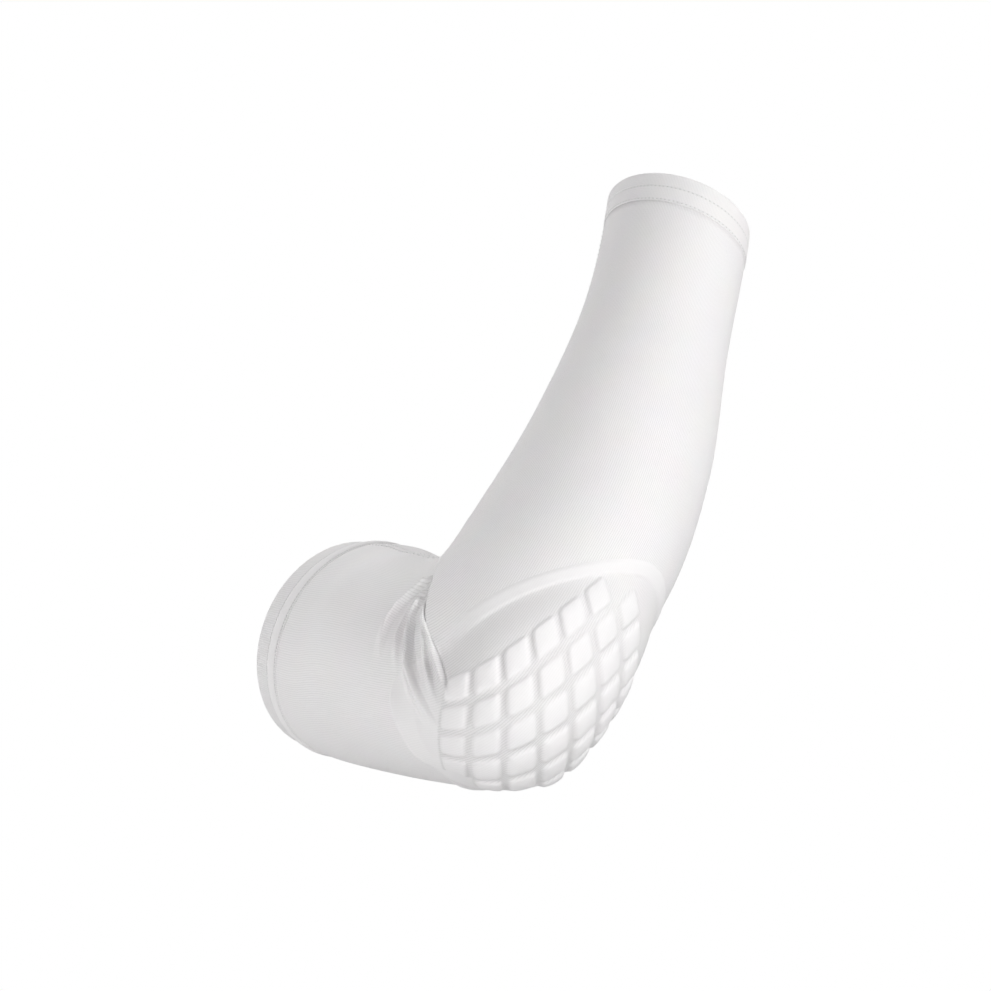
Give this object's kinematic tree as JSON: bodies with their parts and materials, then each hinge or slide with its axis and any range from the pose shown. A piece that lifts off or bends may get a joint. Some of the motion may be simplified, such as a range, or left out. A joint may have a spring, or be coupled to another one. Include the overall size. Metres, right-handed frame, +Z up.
{
  "type": "padded elbow sleeve",
  "caption": "White knitted compression sleeve bent at the elbow, open at both hemmed ends, with an oval pad of raised diamond foam blocks that shields the elbow.",
  "frame": {"origin": "centre of the elbow, where the lines of the upper arm and the forearm cross", "axes": "+Z up, the way the forearm rises; -X along the upper arm; the bend lies in the XZ plane and +Y is to its side"},
  "size_m": [0.1742, 0.093, 0.2686],
  "materials": {
    "knit": "matte",
    "hem": "matte",
    "seam": "matte",
    "pad_panel": "matte",
    "pad_block": "matte"
  },
  "bodies": {
    "root": {"forearm_hem": "hem", "inner_seam": "seam", "pad_block_r1_c1": "pad_block", "pad_block_r1_c2": "pad_block", "pad_block_r1_c3": "pad_block", "pad_block_r1_c4": "pad_block", "pad_block_r1_c5": "pad_block", "pad_block_r1_c6": "pad_block", "pad_block_r2_c1": "pad_block", "pad_block_r2_c2": "pad_block", "pad_block_r2_c3": "pad_block", "pad_block_r2_c4": "pad_block", "pad_block_r2_c5": "pad_block", "pad_block_r2_c6": "pad_block", "pad_block_r2_c7": "pad_block", "pad_block_r3_c1": "pad_block", "pad_block_r3_c2": "pad_block", "pad_block_r3_c3": "pad_block", "pad_block_r3_c4": "pad_block", "pad_block_r3_c5": "pad_block", "pad_block_r3_c6": "pad_block", "pad_block_r3_c7": "pad_block", "pad_block_r4_c1": "pad_block", "pad_block_r4_c2": "pad_block", "pad_block_r4_c3": "pad_block", "pad_block_r4_c4": "pad_block", "pad_block_r4_c5": "pad_block", "pad_block_r4_c6": "pad_block", "pad_block_r4_c7": "pad_block", "pad_block_r5_c2": "pad_block", "pad_block_r5_c3": "pad_block", "pad_block_r5_c4": "pad_block", "pad_block_r5_c5": "pad_block", "pad_block_r5_c6": "pad_block", "pad_block_r5_c7": "pad_block", "pad_block_r6_c4": "pad_block", "pad_block_r6_c5": "pad_block", "pad_block_r6_c6": "pad_block", "pad_block_r6_c7": "pad_block", "pad_panel": "pad_panel", "sleeve": "knit", "upper_arm_hem": "hem"}
  },
  "joints": []
}
